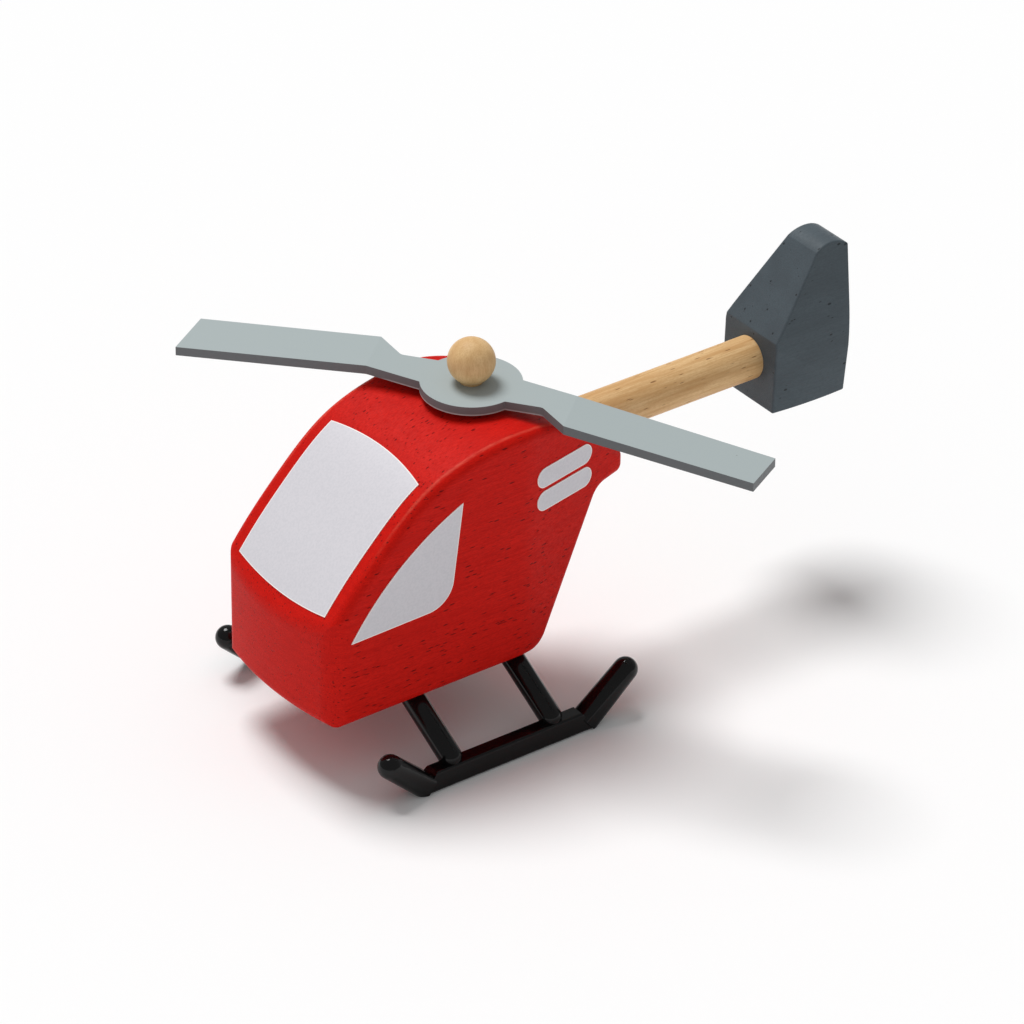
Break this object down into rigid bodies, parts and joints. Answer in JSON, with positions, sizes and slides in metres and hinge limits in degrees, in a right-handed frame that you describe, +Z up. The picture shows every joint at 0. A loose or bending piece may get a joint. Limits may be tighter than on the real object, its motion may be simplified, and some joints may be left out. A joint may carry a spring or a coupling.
{
  "type": "toy helicopter",
  "caption": "Small wooden toy helicopter: solid red body with stick-on windows, dowel tail boom with a fin block, free-spinning rotor under a ball knob, and black moulded skids.",
  "frame": {"origin": "middle of the toy's overall footprint, on the surface that the skids stand on", "axes": "+X towards the nose, +Y to port, +Z up"},
  "size_m": [0.1826, 0.1492, 0.1023],
  "materials": {
    "body_wood": "satin red stain over open grain",
    "dowel_wood": "plain sanded hardwood",
    "fin_wood": "satin slate-grey stain",
    "rotor_plastic": "fine matte",
    "washer_plastic": "matte",
    "gear_plastic": "glossy moulded",
    "screw_steel": "zinc plated",
    "sticker_film": "satin silver-grey film"
  },
  "bodies": {
    "airframe": {"fuselage": "body_wood", "tail_boom": "dowel_wood", "tail_fin": "fin_wood", "rotor_axle": "dowel_wood", "rotor_washer": "washer_plastic", "rotor_knob": "dowel_wood", "landing_gear": "gear_plastic", "gear_screws": "screw_steel", "windshield_sticker": "sticker_film", "port_window_sticker": "sticker_film", "starboard_window_sticker": "sticker_film", "port_upper_stripe": "sticker_film", "port_lower_stripe": "sticker_film", "starboard_upper_stripe": "sticker_film", "starboard_lower_stripe": "sticker_film"},
    "rotor_body": {"rotor": "rotor_plastic"}
  },
  "joints": [
    {"name": "rotor_spin", "type": "hinge", "parent": "airframe", "child": "rotor_body", "pos_m": [0.0279, 0, 0.09], "axis": [0, 0, 1], "continuous": true}
  ]
}
